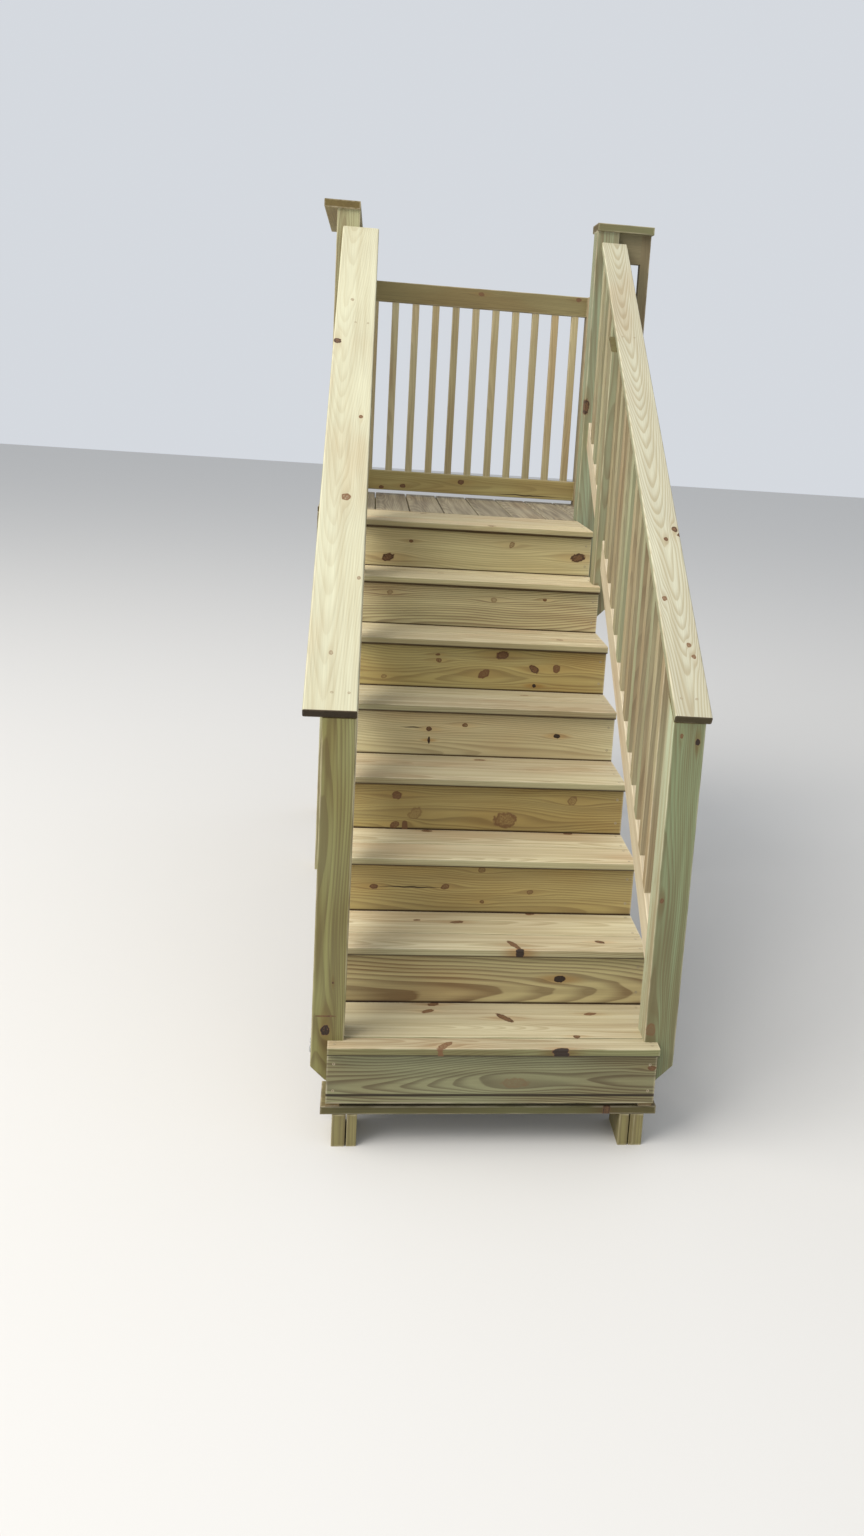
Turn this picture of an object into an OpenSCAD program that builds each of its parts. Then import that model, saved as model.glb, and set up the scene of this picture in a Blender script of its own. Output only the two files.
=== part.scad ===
// Wooden deck stairs: a straight flight of eight risers with its landing, pitched
// handrails and landing guards.
// All sizes are in millimetres. The flight climbs towards +Y. X = 0 and Y = 0 are the middle
// of the whole object seen from above, and Z = 0 is the ground under the levelling blocks.

/* [Flight] */
// Length of a tread board from end to end
flight_w = 914; // [700:1:1200]
// Height from one tread to the next
rise = 178; // [145:1:215]
// Depth from one nosing to the next
run = 254; // [210:1:310]
// How far a tread stands forward of the riser under it
nosing = 25; // [8:1:35]
// Height of the first tread above the sill board
first_rise = 198; // [170:1:240]
// Thickness of a tread board
tread_t = 25; // [20:1:38]
// Thickness of a riser board
riser_t = 19; // [15:1:25]
// Seam between the boards of a tread
seam = 3; // [1:1:6]
// Width of the narrow front strip of the first tread
strip_w = 64; // [40:1:90]
// Width of the front board of the second tread
second_front_w = 112; // [80:1:150]
// Width of the front board of every other tread
front_board_w = 140; // [80:1:170]
// Width of the third board of the last tread, which meets the landing
landing_tread_w = 140; // [80:1:170]
// Clearance behind a tread board, at the riser
back_gap = 1; // [0.5:0.5:3]
// Radius on the long edges of a tread board, a deck board and a handrail cap
board_edge = 5; // [1:0.5:7]

/* [Stringers] */
// Thickness of a stringer
stringer_t = 38; // [32:1:50]
// Width of the board that a stringer is cut from
stringer_w = 286; // [235:1:320]

/* [Foot] */
// Thickness of the sill board under the stringers
sill_t = 25; // [20:1:38]
// Depth of the sill board from front to back
sill_d = 140; // [90:1:240]
// How far the sill board stands out past each end of the treads
sill_out = 14; // [0:1:30]
// Gap under the first riser, above the sill board
toe_gap = 20; // [5:1:40]
// Height of the levelling blocks, from the ground to the sill board
block_h = 97; // [40:1:160]
// Thickness of the outer levelling block
block_outer_t = 38; // [30:1:50]
// Thickness of the inner levelling block
block_inner_t = 28; // [20:1:50]
// Depth of the levelling blocks from front to back
block_d = 140; // [60:1:140]
// Distance from the end of the treads to the outer levelling block
block_in = 19; // [0:1:40]
// Gap between the two levelling blocks of a pair
block_gap = 3; // [1:1:6]

/* [Posts] */
// Side of every square post
post = 89; // [70:1:110]
// Distance from a nosing to the front of the post that stands behind it
post_setback = 42; // [20:1:80]
// Length of the post's tail below the tread it is notched over
tail_l = 118; // [90:1:260]
// Flat left at the tail's end beside its chamfer
tail_flat = 3; // [1:1:20]
// How far the left posts reach in over the treads
notch_left = 44; // [30:1:60]
// How far the right bottom post reaches in over the treads
notch_right = 38; // [30:1:60]
// How far the right top post reaches in over the treads
notch_top_right = 20; // [12:1:60]
// Radius on the long edges of posts, rails, rims, blocks and guard caps
post_edge = 3; // [1:0.5:6]

/* [Handrails] */
// Height of the left handrail's top above the nosing line at the foot, straight up
rail_h_left = 903; // [760:1:1000]
// Height of the right handrail's top above the nosing line at the foot, straight up
rail_h_right = 925; // [760:1:1000]
// How much closer to the nosing line the handrails are at the landing
rail_fall = 105; // [0:1:130]
// Thickness of a pitched handrail cap
cap_t = 25; // [20:1:38]
// Width of the left handrail cap
cap_w_left = 140; // [100:1:190]
// Width of the right handrail cap
cap_w_right = 102; // [89:1:140]
// How far the right railing splays outwards from its foot to the landing
splay_right = 55; // [0:1:60]
// How far a handrail cap runs past the front of the bottom post
cap_out = 11; // [0:1:30]
// Thickness of a pitched bottom rail
rail_t = 38; // [32:1:50]
// Depth of a pitched bottom rail, square to its length
rail_d = 89; // [64:1:140]
// Height of a pitched bottom rail's underside above the nosings, straight up
rail_clear = 108; // [40:1:160]

/* [Balusters] */
// Side of a square baluster in the pitched railing
baluster = 35; // [28:1:38]
// Distance from one baluster to the next in the pitched railing
baluster_pitch = 113; // [80:1:140]
// Gap between the bottom post and the first baluster
first_baluster_gap = 104; // [20:1:130]
// Gap between the top post and the first baluster of the short length above it
upper_baluster_gap = 82; // [20:1:130]
// Radius on the long edges of a square baluster
baluster_edge = 2; // [0.5:0.5:5]
// Least gap between the last baluster of a length and the post above it
last_baluster_gap = 20; // [5:1:60]

/* [Landing] */
// Depth of the landing deck, behind the last tread
deck_d = 900; // [600:1:1500]
// Distance from the end of the treads to the right edge of the deck
deck_right = 225; // [160:1:900]
// Thickness of a deck board
deck_t = 25; // [20:1:38]
// Width of a deck board
deck_board_w = 138; // [85:1:145]
// Gap between deck boards
deck_gap = 4; // [2:1:8]
// Distance from the left end of the treads to a gap between deck boards
deck_seam_in = 76; // [0:1:140]
// Thickness of a rim board or joist
rim_t = 38; // [32:1:50]
// Depth of a rim board or joist
rim_d = 184; // [140:1:235]
// Clearance round a post where it passes through the deck
post_clear = 2; // [1:1:5]
// Distance from the left end of the treads out to the centre of the left landing post
landing_post_out_left = 75; // [50:1:120]
// Distance from the right end of the treads out to the centre of the right landing post
landing_post_out_right = 41; // [0:1:70]

/* [Guards] */
// Height of the side guards from the deck to the underside of their caps
side_guard_h = 1160; // [900:1:1250]
// Thickness of a guard cap
guard_cap_t = 30; // [25:1:50]
// Width of a guard cap
guard_cap_w = 140; // [100:1:190]
// How far a guard cap stands forward of the landing posts
guard_cap_out = 10; // [0:1:30]
// How far the rail of the return guard stops short of the deck's edge
return_short = 4; // [0:1:30]
// Depth of the return guard's rail
return_rail_d = 114; // [64:1:140]
// Height of the back guard from the deck to the top of its rail
back_guard_h = 959; // [860:1:1100]
// Thickness of a guard rail
guard_rail_t = 38; // [32:1:50]
// Depth of a guard rail
guard_rail_d = 89; // [64:1:140]
// Gap under the lower rail of a guard
guard_clear = 22; // [15:1:90]
// Side of a square baluster in the guards
guard_baluster = 31; // [25:1:38]
// Distance from one guard baluster to the next
guard_pitch = 92; // [70:1:120]
// Gap between the back left post and the first baluster of the back guard
guard_first_gap = 55; // [20:1:90]
// Least gap between the last guard baluster and a post
guard_last_gap = 20; // [5:1:60]

/* [Hidden] */
// One node a step, so the number of steps stays as it is
steps = 8;
slope = rise / run;
pitch = atan(slope);
half_w = flight_w / 2;
seat_z = block_h + sill_t;
tread_1_z = seat_z + first_rise;
deck_z = tread_1_z + (steps - 1) * rise;
tread_d = run + nosing - back_gap;
flight_d = (steps - 1) * run + tread_d + landing_tread_w + 2 * seam;
// Reach of the landing to each side of the flight's centre line, guard cap included
left_reach = half_w + landing_post_out_left + max(post / 2 + rim_t, guard_cap_w - post / 2);
right_reach = half_w + deck_right;
flight_x = (left_reach - right_reach) / 2;
front_y = -(flight_d + deck_d) / 2;
// The face of the deck's front rim, where the stringers end
deck_y = front_y + flight_d;
// Front end of the handrail caps, and their length along the pitch
foot_y = front_y + post_setback - cap_out;
cap_pitch = atan(slope - rail_fall / flight_d);
railing_l = (deck_y - foot_y) / cos(cap_pitch);
left_post_x = flight_x - half_w - landing_post_out_left;
right_post_x = flight_x + half_w + landing_post_out_right;
deck_left_x = left_post_x - post / 2 - rim_t;
deck_right_x = flight_x + right_reach;
back_y = deck_y + deck_d;
back_post_y = back_y - rim_t - post;
back_right_x = deck_right_x - rim_t - post / 2;
joist_z = deck_z - deck_t - rim_d;
tread_boards = [strip_w, second_front_w, front_board_w];

function tread_z(n) = tread_1_z + (n - 1) * rise;
function tread_y(n) = front_y + (n - 1) * run;
// Back of the riser under tread n, which is the plumb cut of the stringer there
function plumb_y(n) = tread_y(n) + nosing + riser_t;
// Height of the nosing line above the ground
function line_z(y) = tread_1_z + slope * (y - front_y);
// Inner face of a railing, out from the flight's centre line
function railing_x(notch, splay, y) = half_w - notch + splay * (y - foot_y) / (deck_y - foot_y);
// A line along the railing whose height above the nosings at the foot is h
function railing_z(y, h) = line_z(y) + h - rail_fall * (y - front_y) / flight_d;
function cap_under_z(y, h) = railing_z(y, h) - cap_t / cos(cap_pitch);
function rail_top_z(y) = railing_z(y, rail_clear) + rail_d / cos(cap_pitch);
// Lower edge of the stringer board, whose upper edge touches the tips of the teeth
function stringer_under_z(y) = tread_1_z - tread_t + slope * (y - plumb_y(1)) - stringer_w / cos(pitch);

// A board given by its two opposite corners
module board(a, b) {
    translate(a) cube(b - a);
}

// A rectangle with rounded corners, drawn from its lower left corner
module eased(w, h, r) {
    translate([r, 0])
        square([w - 2 * r, h]);
    translate([0, r])
        square([w, h - 2 * r]);
    for (x = [r, w - r], y = [r, h - r])
        translate([x, y])
            circle(r, $fn = 24);
}

// A board given by its two opposite corners, with its long edges eased: along is "x", "y" or "z"
module eased_board(a, b, along, r) {
    size = b - a;
    translate(a) {
        if (along == "x")
            rotate([90, 0, 90])
                linear_extrude(size.x)
                    eased(size.y, size.z, r);
        if (along == "y")
            rotate([-90, -90, 0])
                linear_extrude(size.y)
                    eased(size.z, size.x, r);
        if (along == "z")
            linear_extrude(size.z)
                eased(size.x, size.y, r);
    }
}

// A profile drawn in Y and Z, extruded along X
module side_profile(x, w) {
    translate([x, 0, 0])
        rotate([90, 0, 90])
            linear_extrude(w)
                children();
}

// Drawn from the flight's centre line: the right side as drawn, or the same piece at the left
module at_side(side) {
    translate([flight_x, 0, 0])
        mirror([side < 0 ? 1 : 0, 0, 0])
            children();
}

module sill_board() {
    color("olive")
        at_side(1)
            eased_board([-half_w - sill_out, plumb_y(1), block_h],
                        [half_w + sill_out, plumb_y(1) + sill_d, seat_z], "x", post_edge);
}

module levelling_blocks(side) {
    outer_x = half_w - block_in;
    inner_x = outer_x - block_outer_t - block_gap;
    color("darkkhaki")
        at_side(side) {
            eased_board([outer_x - block_outer_t, plumb_y(1), 0],
                        [outer_x, plumb_y(1) + block_d, block_h], "z", post_edge);
            eased_board([inner_x - block_inner_t, plumb_y(1), 0],
                        [inner_x, plumb_y(1) + block_d, block_h], "z", post_edge);
        }
}

// Sawtooth outline, from the seat on the sill up to the plumb cut at the deck's rim
module stringer_outline() {
    teeth = [for (n = [1:steps], corner = [0, 1])
        corner == 0
            ? [plumb_y(n), tread_z(n) - tread_t]
            : [n == steps ? deck_y : plumb_y(n + 1), tread_z(n) - tread_t]];
    heel_y = plumb_y(1) + (seat_z - stringer_under_z(plumb_y(1))) / slope;
    polygon(concat(
        [[plumb_y(1), seat_z]],
        teeth,
        [[deck_y, stringer_under_z(deck_y)], [heel_y, seat_z]]));
}

module stringer(side) {
    color("tan")
        at_side(side)
            side_profile(half_w - stringer_t, stringer_t)
                stringer_outline();
}

module riser(n) {
    low_z = n == 1 ? seat_z + toe_gap : tread_z(n - 1) - tread_t;
    color("peru")
        at_side(1)
            board([-half_w, tread_y(n) + nosing, low_z],
                  [half_w, plumb_y(n), tread_z(n) - tread_t]);
}

module tread(n) {
    front_w = tread_boards[min(n, 3) - 1];
    y = tread_y(n);
    color("wheat")
        at_side(1) {
            eased_board([-half_w, y, tread_z(n) - tread_t],
                        [half_w, y + front_w, tread_z(n)], "x", board_edge);
            eased_board([-half_w, y + front_w + seam, tread_z(n) - tread_t],
                        [half_w, y + tread_d, tread_z(n)], "x", board_edge);
            if (n == steps)
                eased_board([-half_w, y + tread_d + seam, tread_z(n) - tread_t],
                            [half_w, deck_y - seam, tread_z(n)], "x", board_edge);
        }
}

// A post that stands on tread n over its notch, with a tail outside the stringer
module notched_post(side, n, notch, h) {
    y = tread_y(n) + post_setback;
    z = tread_z(n);
    out = half_w + post - notch;
    flat = half_w + tail_flat;
    color("darkseagreen")
        at_side(side)
            intersection() {
                union() {
                    side_profile(half_w - notch, post)
                        polygon([[y, z], [y + post, z],
                                 [y + post, cap_under_z(y + post, h)], [y, cap_under_z(y, h)]]);
                    translate([0, y + post, 0])
                        rotate([90, 0, 0])
                            linear_extrude(post)
                                polygon([[half_w, z], [half_w, z - tail_l], [flat, z - tail_l],
                                         [out, z - tail_l + out - flat], [out, z]]);
                }
                eased_board([half_w - notch, y, z - tail_l - 1],
                            [out, y + post, cap_under_z(y + post, h) + 1], "z", post_edge);
            }
}

// Turns a board drawn along Y to run up a railing, from the foot at height h over the nosings
module along_railing(notch, splay, h) {
    translate([railing_x(notch, splay, foot_y), foot_y, railing_z(foot_y, h)])
        rotate([cap_pitch, 0, 0])
            rotate([0, 0, -atan(splay / railing_l)])
                children();
}

// Keeps what lies between two upright planes across a railing
module between(y0, y1) {
    intersection() {
        children();
        board([0, y0, 0], [2 * half_w, y1, deck_z + side_guard_h]);
    }
}

// A board laid flat on the railing, square at its foot and cut plumb at the landing post
module handrail_cap(side, w, notch, splay, h) {
    color("cornsilk")
        at_side(side)
            between(foot_y - w, deck_y)
                along_railing(notch, splay, h)
                    eased_board([0, 0, -cap_t], [w, railing_l + w, 0], "y", board_edge);
}

// A length of rail on edge under the cap, cut plumb at both ends
module rail_length(notch, splay, y0, y1) {
    between(y0, y1)
        along_railing(notch, splay, rail_clear)
            eased_board([0, 0, 0], [rail_t, railing_l + rail_d, rail_d], "y", post_edge);
}

module bottom_rail(side, notch, splay) {
    low = tread_y(1) + post_setback + post;
    high = tread_y(steps - 1) + post_setback;
    color("linen")
        at_side(side) {
            rail_length(notch, splay, low, high);
            rail_length(notch, splay, high + post, deck_y);
        }
}

// Square balusters cut to the rake, seated on the bottom rail and under the cap
module baluster_row(notch, splay, h, first, last) {
    for (y = [first:baluster_pitch:last])
        let (x = railing_x(notch, splay, y) + (rail_t - baluster) / 2)
            intersection() {
                side_profile(x, baluster)
                    polygon([[y, rail_top_z(y)], [y + baluster, rail_top_z(y + baluster)],
                             [y + baluster, cap_under_z(y + baluster, h)], [y, cap_under_z(y, h)]]);
                eased_board([x, y, railing_z(y, rail_clear)],
                            [x + baluster, y + baluster, railing_z(y + baluster, h)], "z", baluster_edge);
            }
}

module balusters(side, notch, splay, h) {
    low = tread_y(1) + post_setback + post;
    high = tread_y(steps - 1) + post_setback;
    color("rosybrown")
        at_side(side) {
            baluster_row(notch, splay, h, low + first_baluster_gap, high - baluster - last_baluster_gap);
            baluster_row(notch, splay, h, high + post + upper_baluster_gap,
                         deck_y - baluster - last_baluster_gap);
        }
}

module landing_post(x) {
    color("darkseagreen")
        eased_board([x - post / 2, deck_y, 0],
                    [x + post / 2, deck_y + post, deck_z + side_guard_h], "z", post_edge);
}

module back_post(x, top_z) {
    color("saddlebrown")
        eased_board([x - post / 2, back_post_y, 0], [x + post / 2, back_post_y + post, top_z], "z", post_edge);
}

// Between the landing posts, and from the right one to the side rim
module deck_rim_front() {
    color("dimgray") {
        eased_board([left_post_x + post / 2, deck_y, joist_z],
                    [right_post_x - post / 2, deck_y + rim_t, deck_z - deck_t], "x", post_edge);
        eased_board([right_post_x + post / 2, deck_y, joist_z],
                    [deck_right_x - rim_t, deck_y + rim_t, deck_z - deck_t], "x", post_edge);
    }
}

module deck_rim_back() {
    color("dimgray")
        eased_board([deck_left_x, back_y - rim_t, joist_z],
                    [deck_right_x, back_y, deck_z - deck_t], "x", post_edge);
}

module deck_rim_along(x) {
    color("dimgray")
        eased_board([x, deck_y, joist_z], [x + rim_t, back_y - rim_t, deck_z - deck_t], "y", post_edge);
}

module deck_joists() {
    span = back_post_y - (deck_y + post);
    color("gray")
        for (k = [1:2])
            let (y = deck_y + post + k * (span + rim_t) / 3 - rim_t)
                board([deck_left_x + rim_t, y, joist_z], [deck_right_x - rim_t, y + rim_t, deck_z - deck_t]);
}

module deck_boards() {
    step = deck_board_w + deck_gap;
    seam_x = flight_x - half_w + deck_seam_in + deck_gap / 2;
    first = -ceil((seam_x - deck_left_x) / step);
    last = ceil((deck_right_x - seam_x) / step) - 1;
    color("slategray")
        difference() {
            for (k = [first:last])
                eased_board([max(deck_left_x, seam_x + k * step), deck_y, deck_z - deck_t],
                            [min(deck_right_x, seam_x + k * step + deck_board_w), back_y, deck_z],
                            "y", board_edge);
            for (x = [left_post_x, right_post_x])
                board([x - post / 2 - post_clear, deck_y - 1, deck_z - deck_t - 1],
                      [x + post / 2 + post_clear, deck_y + post + post_clear, deck_z + 1]);
            for (x = [left_post_x, back_right_x])
                board([x - post / 2 - post_clear, back_post_y - post_clear, deck_z - deck_t - 1],
                      [x + post / 2 + post_clear, back_post_y + post + post_clear, deck_z + 1]);
        }
}

module back_guard_rail(top_z) {
    y = back_post_y + (post - guard_rail_t) / 2;
    color("sienna")
        eased_board([left_post_x + post / 2, y, top_z - guard_rail_d],
                    [back_right_x - post / 2, y + guard_rail_t, top_z], "x", post_edge);
}

module back_guard_balusters() {
    x0 = left_post_x + post / 2 + guard_first_gap;
    x1 = back_right_x - post / 2 - guard_baluster - guard_last_gap;
    y = back_post_y + (post - guard_baluster) / 2;
    color("chocolate")
        for (x = [x0:guard_pitch:x1])
            eased_board([x, y, deck_z + guard_clear + guard_rail_d],
                        [x + guard_baluster, y + guard_baluster, deck_z + back_guard_h - guard_rail_d],
                        "z", baluster_edge);
}

module left_guard_cap() {
    color("rosybrown")
        eased_board([left_post_x + post / 2 - guard_cap_w, deck_y - guard_cap_out, deck_z + side_guard_h],
                    [left_post_x + post / 2, back_post_y + post + guard_cap_out,
                     deck_z + side_guard_h + guard_cap_t], "y", post_edge);
}

module left_guard_panel() {
    x = left_post_x - guard_rail_t / 2;
    y0 = deck_y + post;
    y1 = back_post_y;
    top_z = deck_z + side_guard_h;
    count = floor((y1 - y0) / guard_pitch);
    spare = (y1 - y0 - count * guard_baluster) / (count + 1);
    color("sienna") {
        eased_board([x, y0, top_z - guard_rail_d], [x + guard_rail_t, y1, top_z], "y", post_edge);
        eased_board([x, y0, deck_z + guard_clear],
                    [x + guard_rail_t, y1, deck_z + guard_clear + guard_rail_d], "y", post_edge);
        for (k = [0:count - 1])
            let (y = y0 + spare + k * (spare + guard_baluster))
                eased_board([left_post_x - guard_baluster / 2, y, deck_z + guard_clear + guard_rail_d],
                            [left_post_x + guard_baluster / 2, y + guard_baluster, top_z - guard_rail_d],
                            "z", baluster_edge);
    }
}

module return_guard_cap() {
    color("darkkhaki")
        eased_board([right_post_x - post / 2, deck_y - guard_cap_out, deck_z + side_guard_h],
                    [deck_right_x, deck_y - guard_cap_out + guard_cap_w, deck_z + side_guard_h + guard_cap_t],
                    "x", post_edge);
}

// A rail on edge and the upright that stands on the deck at its far end
module return_guard_frame() {
    y = deck_y + (post - guard_rail_t) / 2;
    end_x = deck_right_x - return_short;
    top_z = deck_z + side_guard_h;
    color("dimgray") {
        board([right_post_x + post / 2, y, top_z - return_rail_d], [end_x, y + guard_rail_t, top_z]);
        board([end_x - guard_rail_t, y, deck_z], [end_x, y + guard_rail_t, top_z]);
    }
}

sill_board();
levelling_blocks(-1);  // levelling_blocks_left
levelling_blocks(1);  // levelling_blocks_right
stringer(-1);  // stringer_left
stringer(1);  // stringer_right
riser(1);  // riser_1
riser(2);  // riser_2
riser(3);  // riser_3
riser(4);  // riser_4
riser(5);  // riser_5
riser(6);  // riser_6
riser(7);  // riser_7
riser(8);  // riser_8
tread(1);  // tread_1
tread(2);  // tread_2
tread(3);  // tread_3
tread(4);  // tread_4
tread(5);  // tread_5
tread(6);  // tread_6
tread(7);  // tread_7
tread(8);  // tread_8
notched_post(-1, 1, notch_left, rail_h_left);  // bottom_post_left
notched_post(1, 1, notch_right, rail_h_right);  // bottom_post_right
notched_post(-1, steps - 1, notch_left, rail_h_left);  // top_post_left
notched_post(1, steps - 1, notch_top_right, rail_h_right);  // top_post_right
handrail_cap(-1, cap_w_left, notch_left, 0, rail_h_left);  // handrail_cap_left
handrail_cap(1, cap_w_right, notch_right, splay_right, rail_h_right);  // handrail_cap_right
bottom_rail(-1, notch_left, 0);  // bottom_rail_left
bottom_rail(1, notch_right, splay_right);  // bottom_rail_right
balusters(-1, notch_left, 0, rail_h_left);  // balusters_left
balusters(1, notch_right, splay_right, rail_h_right);  // balusters_right
landing_post(left_post_x);  // landing_post_left
landing_post(right_post_x);  // landing_post_right
back_post(left_post_x, deck_z + side_guard_h);  // back_post_left
back_post(back_right_x, deck_z + back_guard_h);  // back_post_right
deck_rim_front();
deck_rim_back();
deck_rim_along(deck_left_x);  // deck_rim_left
deck_rim_along(deck_right_x - rim_t);  // deck_rim_right
deck_joists();
deck_boards();
back_guard_rail(deck_z + back_guard_h);  // back_guard_top_rail
back_guard_rail(deck_z + guard_clear + guard_rail_d);  // back_guard_bottom_rail
back_guard_balusters();
left_guard_cap();
left_guard_panel();
return_guard_cap();
return_guard_frame();
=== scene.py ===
# %% [markdown]
# # Wooden deck stairs
# A new flight of treated pine stairs that climbs to a small landing, with pitched handrails and
# guards. The boards themselves already have the right shape and size in the frame. What this
# lesson adds is the wood: how a board shows where it was cut from the tree, how the treatment
# tints it, where its knots and cracks are, and the screws and bolts that hold it together.

# %% Load the frame
import math
import bpy
from mathutils import Matrix, Vector


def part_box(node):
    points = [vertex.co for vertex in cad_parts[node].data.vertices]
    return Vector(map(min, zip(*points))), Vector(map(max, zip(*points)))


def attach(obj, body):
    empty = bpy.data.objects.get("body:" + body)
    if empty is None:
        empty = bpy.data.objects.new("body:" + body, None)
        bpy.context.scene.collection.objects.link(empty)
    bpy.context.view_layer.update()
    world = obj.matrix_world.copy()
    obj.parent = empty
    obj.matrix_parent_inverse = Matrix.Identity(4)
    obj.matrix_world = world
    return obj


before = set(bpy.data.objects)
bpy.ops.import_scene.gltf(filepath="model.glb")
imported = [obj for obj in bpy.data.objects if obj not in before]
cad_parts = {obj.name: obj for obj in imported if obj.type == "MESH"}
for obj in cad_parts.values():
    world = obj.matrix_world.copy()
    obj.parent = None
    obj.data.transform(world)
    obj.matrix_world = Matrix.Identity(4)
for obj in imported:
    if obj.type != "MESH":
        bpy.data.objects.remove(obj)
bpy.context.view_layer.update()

# %% [markdown]
# ## The viewpoint
# The picture was taken from in front of the stairs and a little to the left, from about half a
# metre above the landing. A camera is a place, three turns and a focal length. The place is
# measured from the low left corner of the first tread, and the turns are in radians. The focal
# length is counted in picture dots, so it is turned into millimetres on a 24 mm high sensor. The
# small shift puts the middle of the lens where it was in the picture.

# %% Camera
FRAME_W = 864
FRAME_H = 1536
SENSOR_H = 24
FOCAL_DOTS = 1323.7
LENS_MIDDLE = Vector((542.4, 684.7))
EYE = Vector(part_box("tread_1")[0]) + Vector((0.0545, -3.2931, 1.7668))
HEADING = 0.1379
DIP = 0.2134
LEAN = 0.0711
FARTHEST = 200

camera = bpy.data.objects.new("camera", bpy.data.cameras.new("camera"))
bpy.context.scene.collection.objects.link(camera)
bpy.context.scene.camera = camera
camera.data.sensor_fit = "VERTICAL"
camera.data.sensor_height = SENSOR_H
camera.data.lens = FOCAL_DOTS * SENSOR_H / FRAME_H
camera.data.shift_x = (FRAME_W / 2 - LENS_MIDDLE.x) / FRAME_H
camera.data.shift_y = (LENS_MIDDLE.y - FRAME_H / 2) / FRAME_H
camera.data.clip_end = FARTHEST
# A camera looks down its own -Z, so it is tipped up by a right angle before it dips
looking = (Matrix.Rotation(-HEADING, 3, "Z") @ Matrix.Rotation(math.pi / 2 - DIP, 3, "X")
           @ Matrix.Rotation(LEAN, 3, "Z"))
camera.matrix_world = Matrix.Translation(EYE) @ looking.to_4x4()
print("eye", EYE, "lens", round(camera.data.lens, 2), "mm")

# %% [markdown]
# ## Finishes made of nodes
# A finish in Blender is a tree of small nodes, which can be wired by hand in the shader editor.
# This many boards need thousands of them, so a few helpers add a node, set what it needs and
# hand back its result. The finishes further down then read like sums.

# %% Helpers for node trees
def fill(tree, inputs, values):
    """Fills a node's inputs in order: a socket is linked, a plain value is set, None is skipped."""
    for socket, value in zip(inputs, values):
        if isinstance(value, bpy.types.NodeSocket):
            tree.links.new(value, socket)
        elif value is not None:
            socket.default_value = value


def put(tree, kind, *values, **settings):
    """Adds a shader node, sets its options, then fills its inputs in order."""
    node = tree.nodes.new("ShaderNode" + kind)
    for name, value in settings.items():
        setattr(node, name, value)
    fill(tree, node.inputs, values)
    return node


def calc(tree, operation, *values):
    """One arithmetic step on numbers."""
    return put(tree, "Math", *values, operation=operation).outputs[0]


def shift(tree, place, x, y, z):
    """A place moved by three amounts, each a number or a link."""
    step = put(tree, "CombineXYZ", x, y, z).outputs[0]
    return put(tree, "VectorMath", place, step, operation="ADD").outputs[0]


def step_over(tree, value, low, high, to_low=0.0, to_high=1.0):
    """A smooth step: to_low at low, to_high at high."""
    return put(tree, "MapRange", value, low, high, to_low, to_high,
               interpolation_type="SMOOTHSTEP").outputs[0]


def noise(tree, place, scale, detail=2.0, roughness=0.5, stretch=(1, 1, 1), output=0):
    """A noise of the given scale, read at a place that is first stretched."""
    stretched = put(tree, "Mapping", place, None, None, stretch).outputs[0]
    return put(tree, "TexNoise", stretched, None, scale, detail, roughness).outputs[output]


# %% Helpers for colours and materials
def rgb(red, green, blue):
    return (red, green, blue, 1.0)


def mix_colour(tree, factor, first, second, blend_type="MIX"):
    """Two colours mixed by a factor."""
    node = tree.nodes.new("ShaderNodeMix")
    node.data_type = "RGBA"
    node.blend_type = blend_type
    fill(tree, (node.inputs[0], node.inputs[6], node.inputs[7]), (factor, first, second))
    return node.outputs[2]


def tint(tree, factor, colour, glaze):
    """A colour seen through a thin glaze, as far as the factor says."""
    return mix_colour(tree, factor, colour, glaze, "MULTIPLY")


def relief(tree, height, strength, distance):
    """Makes the shader see a height as bumps."""
    bump = put(tree, "Bump")
    bump.inputs["Strength"].default_value = strength
    bump.inputs["Distance"].default_value = distance
    tree.links.new(height, bump.inputs["Height"])
    tree.links.new(bump.outputs[0], tree.nodes["Principled BSDF"].inputs["Normal"])


def new_finish(name):
    """An empty material, its node tree and the inputs of its shader."""
    material = bpy.data.materials.new(name)
    material.use_nodes = True
    return material, material.node_tree, material.node_tree.nodes["Principled BSDF"].inputs


# %% [markdown]
# ## Floor and light
# The stairs stand under an overcast sky with the open side at the left. A pale dome gives soft
# light from everywhere. One large panel hangs high at the left and a little in front, so the
# treads are brighter than the risers and the left faces of the posts are brighter than their fronts.

# %% Floor
FLOOR_SIDE = 60.0
FLOOR_TONE = rgb(0.62, 0.61, 0.59)
FLOOR_ROUGH = 0.9

bpy.ops.mesh.primitive_plane_add(size=FLOOR_SIDE, location=(0, 0, 0))
floor = bpy.context.object
floor.name = "floor"
floor_paint, _, floor_inputs = new_finish("pale floor")
floor_inputs["Base Color"].default_value = FLOOR_TONE
floor_inputs["Roughness"].default_value = FLOOR_ROUGH
floor.data.materials.append(floor_paint)
print("floor", FLOOR_SIDE, "m wide")

# %% Sky and panel
SKY_TONE = rgb(0.9, 0.94, 1.0)
SKY_STRENGTH = 0.74
PANEL_SIDE = 10.0
PANEL_WATTS = 1950
PANEL_TONE = (1.0, 0.96, 0.9)
PANEL_PLACE = Vector((-7.4, -4.2, 10.0))
PANEL_TARGET = Vector((0, -0.2, 1.0))

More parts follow.
